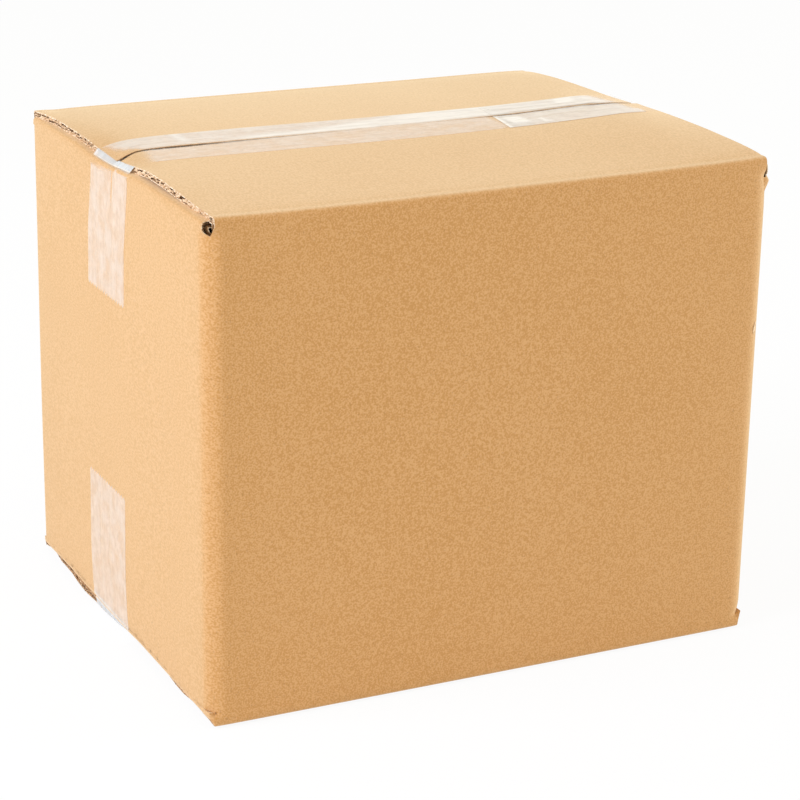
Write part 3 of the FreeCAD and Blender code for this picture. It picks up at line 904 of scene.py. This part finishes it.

# %% [markdown]
# ## Clear tape
#
# The box is sealed with clear film, a little under 48 mm wide. Where it sticks tightly it can
# hardly be seen; where air is caught under it, it is milky, in patches and in streaks along its
# length. At the left end it leaves the flap's edge and crosses the step down to the end panel in
# the air, and there it shines white. Where it hangs free it also takes a cool grey-blue tone, which
# is painted reflection. Glass or a transmission shader could make film, but a thin white coat whose
# alpha follows the streaks gives the same look, bakes well and leaves the board's colour below it.
# Two numbers at each point of a strip steer it: grip makes it clear, haze white.

# %% Tape materials
def film(name, low_alpha, high_alpha, colour, roughness):
    """Thin milky film, clear where the mesh's grip is 1 and white where its haze is 1."""
    material, wires = new_material(name)
    spot = wires.node("ShaderNodeTexCoord", output=3)
    x, y, z = spot.axes()
    lengthwise = wires.node("ShaderNodeCombineXYZ", sockets={0: (x + z) * 34.0, 1: y * 260.0, 2: 0.0})
    streaks = lengthwise.noise(1.0, 4.0, 0.62)
    patches = spot.noise(130.0, 4.0, 0.6)
    grip, haze = (wires.node("ShaderNodeAttribute", {"attribute_name": kind}, output=2)
                  for kind in ("grip", "haze"))
    milk = (streaks * 0.35 + patches * 0.65).between(0.34, 0.66, low_alpha, high_alpha)
    alpha = milk * (1.0 - grip * 0.95)
    white = haze * streaks.between(0.32, 0.62, 0.72, 1.0)
    bump = wires.node("ShaderNodeBump", sockets={
        "Strength": 0.5, "Distance": 0.0002, "Height": streaks + patches * 0.5})
    shader = wires.node("ShaderNodeBsdfPrincipled", sockets={
        "Base Color": colour,
        "Roughness": patches.between(0.3, 0.7, roughness, roughness + 0.15),
        "Alpha": alpha + white * (0.92 - alpha),
        "Normal": bump,
        "Specular IOR Level": 0.5,
        "Sheen Weight": 0.8,
        "Sheen Roughness": 0.5,
        "Sheen Tint": (1.0, 0.96, 0.90, 1.0)})
    finish(wires, shader)
    return material


stuck_film = film("tape_film", 0.30, 0.52, tone(255, 247, 232), 0.28)
# Film that hangs free takes a cool grey-blue tone: painted reflection.
free_film_painted_reflection = film("tape_free", 0.28, 0.50, tone(222, 229, 230), 0.18)
film_under = film("tape_under", 0.02, 0.04, tone(253, 250, 244), 0.28)
print("films:", stuck_film.name, free_film_painted_reflection.name, film_under.name)

# %% [markdown]
# A strip's line is found in three runs: up the end panel from its cut, across the step between end
# panel and flap, and along the flaps over the seam. Each run asks the same surfaces as the board,
# so the film lies on it. A strip could also be draped by a cloth solver, but the runs are known
# surfaces. The ends are cut by a toothed blade.

# %% Runs of a strip
TAPE_WIDTH = 45.5
TEETH = 15
TOOTH = 1.5
FILM = 0.06
CLEARANCE = 0.05
WALL_ROWS, SHOULDER_ROWS, AIR_ROWS = 19, 3, 4
END_ROWS = WALL_ROWS + SHOULDER_ROWS + AIR_ROWS
FLAP_ENDS = (-HALF_LENGTH + 3.3, HALF_LENGTH - 3.5)
SHARES = np.linspace(0, 1, TEETH * 4 + 1)
OFFSETS = (SHARES - 0.5) * TAPE_WIDTH
CUT_TEETH = TOOTH * np.abs(((SHARES * TEETH) % 1.0) - 0.5) * 2


def on_roof(x, y, lift):
    """Film on the top flaps. It spans the open seam and sags into it a little."""
    return across_seam(x, y, 1.2) + lift - 0.12 * np.exp(-(y / 0.8) ** 2)


def on_base(x, y, lift):
    """Film under the bottom flaps."""
    return base(x, y) - lift


def wall_x(side, y, z, lift):
    """x of the film on an end panel."""
    panel = left_panel if side < 0 else right_panel
    a = y - panel.start[1] if side < 0 else panel.start[1] - y
    return side * (HALF_LENGTH - panel.bow(a, z) + lift)


def flap_x(side, way, y):
    """x of the long flaps' side edges, where the film leaves them."""
    front_end, back_end = (END, START) if side < 0 else (START, END)
    run = HALF_WIDTH - FOLD - np.abs(y)
    near, far = (np.interp(run, *zip(*panel.edges.get((way, end), ANY)[1]))
                 for panel, end in ((front_panel, front_end), (back_panel, back_end)))
    return side * (HALF_LENGTH - np.where(y < 0, near, far))


def end_run(side, centre, cut, way, lift, level, sill):
    """Points of a strip's end, from its toothed cut along the end panel and over the step.

    centre gives the strip's middle at a height, cut is the height of its end, level the film's
    place on the flaps and sill the crest of the end flap's fold.
    """
    rows = []
    top = sill(side * HALF_LENGTH, centre(cut) + OFFSETS) - (FOLD + 0.6) * way
    climb = float(np.mean(top)) - cut
    for share in np.linspace(0, 1, WALL_ROWS):
        y = centre(cut + climb * share) + OFFSETS
        z = cut + CUT_TEETH * way * (1 - share) + (top - cut) * share
        rows.append(np.stack((wall_x(side, y, z, lift), y, z), axis=-1))
    edge = flap_x(side, way, y)
    edge = np.convolve(np.pad(edge, 6, mode="edge"), np.ones(13) / 13, "valid") + side * 0.1
    flap = level(edge, y, lift)
    foot = sill(side * HALF_LENGTH, y)
    # The film is taut over the shoulder of the fold and then in the air up to the flap's edge
    for out, rise, share in ((0.10, -2.3, 0.0), (-0.32, -1.15, 0.0), (-1.05, -0.15, 0.06)):
        z = (foot + rise * way) * (1 - share) + flap * share
        rows.append(np.stack((wall_x(side, y, z, lift) + side * out, y, z), axis=-1))
    shoulder = rows[-1]
    target = np.stack((edge, y, flap), axis=-1)
    for share in (0.25, 0.5, 0.75, 0.95):
        rows.append(shoulder + (target - shoulder) * share)
    # Where a flap stands out past the panel, the film runs straight down to it
    held = foot - 7 * way
    wall = wall_x(side, y, held, lift)
    for points in rows:
        share = np.clip((points[:, 2] - held) / (flap - held), 0, 1)
        straight = side * (wall + (edge - wall) * share) * (share > 0)
        points[:, 0] = side * np.maximum(side * points[:, 0], straight)
    return rows


def long_run(stations, centre, level, lift, skew=0.0):
    """Points of a strip's run over the flaps. skew slants its first row."""
    rows = []
    for k, x in enumerate(stations):
        y = centre(x) + OFFSETS
        slanted = x + skew * (SHARES - 0.5) * (1 - k / len(stations))
        rows.append(np.stack((slanted, y, level(slanted, y, lift)), axis=-1))
    return rows


def middle_line(stations, places):
    """y of a strip's middle as a function of how far along it is."""
    return lambda along: np.interp(along, stations, places)


print("rows of a strip's end:", END_ROWS, "teeth:", TEETH)

# %% [markdown]
# The film is a closed sheet like the papers, with a finish of its own where it hangs free; that
# finish's cool grey-blue tone is painted reflection. Small ridges along it are its wrinkles: they
# are added along the surface's normals, since a height map would be lost where the strip turns
# down the end panel.

# %% Strips
def wrinkled(points, wrinkles):
    """Height of lengthwise ridges: (middle share, first and last row share, height, width, drift)."""
    along = np.linspace(0, 1, points.shape[0])[:, None]
    rise = np.zeros(points.shape[:2])
    for middle, first, last, height, width, drift in wrinkles:
        line = middle + drift * (along - first) / (last - first)
        window = step(first - 0.02, first + 0.02, along) * (1 - step(last - 0.02, last + 0.02, along))
        rise += height * window * np.exp(-((SHARES[None, :] - line) / width) ** 2)
    return rise


def outward(points):
    """Unit normals of a grid of points, away from the box."""
    normal = np.cross(np.gradient(points, axis=0), np.gradient(points, axis=1))
    normal /= np.linalg.norm(normal, axis=-1, keepdims=True)
    away = 1 if points[..., 2].max() > HALF_WIDTH else -1
    middle = normal[len(points) // 2, points.shape[1] // 2, 2]
    return normal if middle * away >= 0 else -normal


def tape_strip(name, runs, wrinkles, look_of, free_rows, covered=slice(0)):
    """A strip of film from its rows of points. look_of gives grip and haze for its grid.

    free_rows hang in the air, and covered is the run of rows that lies out of sight under another
    strip and is left out.
    """
    points = np.array(runs)
    look = look_of(np.arange(len(points))[:, None], *np.moveaxis(points, -1, 0))
    normal = outward(points)
    points = points + normal * wrinkled(points, wrinkles)[..., None]
    lower = settle(*np.moveaxis(points, -1, 0))
    upper = settle(*np.moveaxis(points + normal * FILM, -1, 0))
    whole = np.ones((points.shape[0] - 1, points.shape[1] - 1), bool)
    whole[covered] = False
    used = np.zeros(points.shape[:2], bool)
    for rows in (slice(1, None), slice(-1)):
        for across in (slice(1, None), slice(-1)):
            used[rows, across] |= whole
    piece = closed_sheet(name, upper, lower, whole, (stuck_film, free_film_painted_reflection, film_under, stuck_film),
                         index_of=lambda r, c: 1 if r in free_rows else 0, under=2)
    for kind, values in zip(("grip", "haze"), look):
        values = np.broadcast_to(values, points.shape[:2])[used]
        layer = piece.data.attributes.new(kind, "FLOAT", "POINT")
        layer.data.foreach_set("value", np.concatenate((values, values)))
    return piece


def rows_in_air(runs):
    """Rows in which a strip with two ends crosses the steps in the air."""
    last = len(runs) - END_ROWS
    return {*range(END_ROWS - AIR_ROWS, END_ROWS), *range(last, last + AIR_ROWS)}


def within(low, high, value, soft=1.0):
    """1 between two limits and 0 beyond them, with soft ends."""
    return step(low - soft, low + soft, value) * (1 - step(high - soft, high + soft, value))


# %% [markdown]
# The top strip covers the seam and both ends. Its look changes along the way: on the near flap it
# is evenly milky, on the far flap a bright band widens to the right, and over the open left part of
# the seam it is clear, so the dark gap shows. It stops under the second strip, where it can't be
# seen, and shows again at the right end.

# %% Top strip
LEFT_CUT, RIGHT_CUT = 155.4, 157.9
OVERLAP_X = 50.5
OVERLAP_SKEW = 7.0
COVERED_FROM = 60.0
roof_x = np.concatenate((np.linspace(FLAP_ENDS[0], -100, 12), np.linspace(-96, 96, 55),
                         np.linspace(100, FLAP_ENDS[1], 12)))
left_centre = middle_line((60, 150, 180, 207, 214), (8.6, 8.4, 7.4, 2.4, 1.8))
roof_centre = middle_line((-126, -90, -60, 20, 60, 100, 128), (1.2, 0.8, 0.3, -1.4, -1.4, -0.6, 1.4))
right_centre = middle_line((150, 214), (5.0, 1.6))
top_runs = (end_run(-1, left_centre, LEFT_CUT, UP, CLEARANCE, on_roof, end_roof)
            + long_run(roof_x, roof_centre, on_roof, CLEARANCE)
            + end_run(1, right_centre, RIGHT_CUT, UP, CLEARANCE, on_roof, end_roof)[::-1])
covered = slice(END_ROWS + int(np.searchsorted(roof_x, COVERED_FROM)), len(top_runs) - 5)


def overlap_start(y):
    """x where the second strip begins, on a slant."""
    return OVERLAP_X + OVERLAP_SKEW * (y + 1.8) / TAPE_WIDTH


def top_look(row, x, y, z):
    """Grip and haze of the top strip."""
    on_wall = (row < END_ROWS - AIR_ROWS) & (x < 0)
    in_air = (row >= END_ROWS - AIR_ROWS) & (row < END_ROWS)
    on_top = (row >= END_ROWS) & (row < len(top_runs) - END_ROWS)

    # On the end panel it is clear by the crest and along one upright wrinkle
    crest = end_roof(-HALF_LENGTH, y)
    bare = np.interp(y, (-20, -2, 8, 24), (-0.8, 0.4, 1.4, 2.4))
    wrinkle = within(-0.7, 0.7, y + 0.4 + 0.17 * (z - 200), 0.6) * step(197, 200, z)
    wall_grip = np.maximum(step(crest - bare - 1.4, crest - bare, z), wrinkle)

    # On the roof it is clear by the left fold, over the open seam and past the second strip's start
    start = np.interp(y, (-22, -18, 2, 9, 25), (-118, -118, -114.5, -120.5, -124.5))
    end = overlap_start(y) - 1.2 + 4.0 * step(0, 4, y)
    past_end = step(end - 0.5, end + 0.5, x)
    open_seam = np.exp(-((y - 0.2) / 1.3) ** 2) * (1 - step(-94, -64, x))
    roof_grip = np.maximum(1 - step(start - 1.0, start + 3.0, x), np.maximum(open_seam, past_end))

    # Beyond the seam it is whiter, with a widening bright band and one white crease
    band_edge = np.interp(x, (-70, -30, 10, 50), (5, 8, 20, 26))
    band = within(1, band_edge, y, 2.5) * step(-80, -55, x)
    crease = within(-94.0, -92.2, x, 0.7) * within(7, 24, y)
    roof_haze = np.maximum(step(0.8, 2.5, y) * (0.28 + 0.50 * band), 0.9 * crease)
    roof_haze = roof_haze * (1 - past_end) * step(start, start + 4.0, x)

    air_haze = 0.45 + 0.25 * (1 - step(0.0, 2.0, y))
    grip = np.where(on_wall, wall_grip, 0.0) + np.where(on_top, roof_grip, 0.0)
    haze = np.where(in_air, air_haze, 0.0) + np.where(on_top, roof_haze, 0.0)
    return grip, haze


TOP_WRINKLES = (
    (0.30, 0.02, 0.20, 0.35, 0.020, 0.03), (0.52, 0.06, 0.22, 0.30, 0.014, -0.05),
    (0.78, 0.02, 0.16, 0.22, 0.020, 0.02), (0.12, 0.25, 0.70, 0.18, 0.016, 0.05),
    (0.35, 0.30, 0.80, 0.14, 0.012, -0.04), (0.66, 0.28, 0.60, 0.16, 0.014, 0.05),
    (0.85, 0.40, 0.86, 0.16, 0.012, -0.03),
)
top_strip = tape_strip("top_strip", top_runs, TOP_WRINKLES, top_look, rows_in_air(top_runs), covered)

# %% [markdown]
# A second, shorter strip lies over the right part of the first and goes down the right end. Its
# start is slanted and shines, and it has white patches where air is caught.

# %% Second strip
OVERLAP_CUT = 165.9
OVERLAP_LIFT = CLEARANCE + FILM + 0.04
WHITE_PATCHES = ((52, 62, 2.5, -18, -4, 0.0), (84, 95, 2.0, 8, 24, 0.4), (67, 70, 1.5, -22, -12, 0.0))
overlap_x = np.concatenate((np.linspace(OVERLAP_X, 66, 18), np.linspace(67.5, 96, 16),
                            np.linspace(99, FLAP_ENDS[1], 14)))
overlap_centre = middle_line((51, 90, 128), (-1.8, -1.2, 1.6))
overlap_right_centre = middle_line((150, 214), (6.0, 2.6))
overlap_end = end_run(1, overlap_right_centre, OVERLAP_CUT, UP, OVERLAP_LIFT, on_roof, end_roof)
overlap_runs = (long_run(overlap_x, overlap_centre, on_roof, OVERLAP_LIFT, OVERLAP_SKEW)
                + overlap_end[::-1])


def overlap_look(row, x, y, z):
    """Grip and haze of the second strip."""
    on_top = row < len(overlap_x)
    stuck = row > len(overlap_x) + SHOULDER_ROWS + AIR_ROWS + 1
    seam = np.exp(-((y - 0.2) / 1.1) ** 2) * (1 - step(115, 118, x))
    tight = step(111, 117, x + 0.1 * y)
    near_side = within(-22, -14, y)
    grip = np.maximum(seam, 0.9 * tight * (1 - within(105, 118, x) * near_side))
    haze = 0.40 + 0.22 * step(1, 4, y)
    shining_start = (1.0 - step(1.2, 2.6, x - overlap_start(y))) * (1 - step(-2, 0, y))
    haze = np.maximum(haze, shining_start)
    for left, right, soft, near, far, slant in WHITE_PATCHES:
        patch = within(left, right, x - slant * y, soft) * within(near, far, y, 2.0)
        haze = np.maximum(haze, 0.95 * patch)
    haze = haze * (1 - seam) * (1 - 0.95 * tight * (1 - near_side)) * (1 - step(116, 119, x))
    return np.where(on_top, grip, np.where(stuck, 0.2, 0.95)), np.where(on_top, haze, 0.0)


OVERLAP_WRINKLES = (
    (0.25, 0.10, 0.50, 0.45, 0.020, 0.12), (0.45, 0.05, 0.48, 0.50, 0.022, 0.06),
    (0.62, 0.15, 0.50, 0.40, 0.018, -0.08), (0.80, 0.08, 0.46, 0.35, 0.020, -0.10),
)
overlap_free = set(range(len(overlap_x), len(overlap_x) + 5))
overlap_strip = tape_strip("overlap_strip", overlap_runs, OVERLAP_WRINKLES, overlap_look, overlap_free)

# %% [markdown]
# The bottom strip closes the lower seam in the same way, and its ends are turned up on both end
# panels. It is made by the same functions with the direction turned round.

# %% Bottom strip
LOW_LEFT_CUT, LOW_RIGHT_CUT = 68.5, 64.8
low_left_centre = middle_line((3, 12, 30, 67), (9.5, 12.0, 13.0, 11.2))
base_centre = middle_line((-126, 126), (9.5, 10.5))
low_right_centre = middle_line((0, 100), (10.5, 10.5))
low_runs = (end_run(-1, low_left_centre, LOW_LEFT_CUT, DOWN, CLEARANCE, on_base, end_base)
            + long_run(np.linspace(*FLAP_ENDS, 50), base_centre, on_base, CLEARANCE)
            + end_run(1, low_right_centre, LOW_RIGHT_CUT, DOWN, CLEARANCE, on_base, end_base)[::-1])


def low_look(row, x, y, z):
    """Grip and haze of the bottom strip, whiter where it turns from the left end to the flaps."""
    turn = (row >= END_ROWS - SHOULDER_ROWS - AIR_ROWS) & (row < END_ROWS) & (x < 0)
    return 0.0 * x, np.where(turn, 0.5, 0.0)


LOW_WRINKLES = ((0.42, 0.0, 0.20, 0.25, 0.014, 0.02), (0.70, 0.02, 0.18, 0.25, 0.016, -0.02))
bottom_strip = tape_strip("bottom_strip", low_runs, LOW_WRINKLES, low_look, rows_in_air(low_runs))

# %% [markdown]
# ## Riding on the frame
#
# Every piece rides on the frame's one body and says which solid it stands for, which is hidden.

# %% Riding
board_pieces = [(piece, "carton", "kraft_board")
                for piece in (outer_liner, inner_liner, *flute_pieces, fleck)]
film_pieces = [(top_strip, "top_tape", "clear_tape"), (overlap_strip, "top_tape_overlap", "clear_tape"),
               (bottom_strip, "bottom_tape", "clear_tape")]
for piece, node, slot in board_pieces + film_pieces:
    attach(piece, "root")
    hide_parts(node)
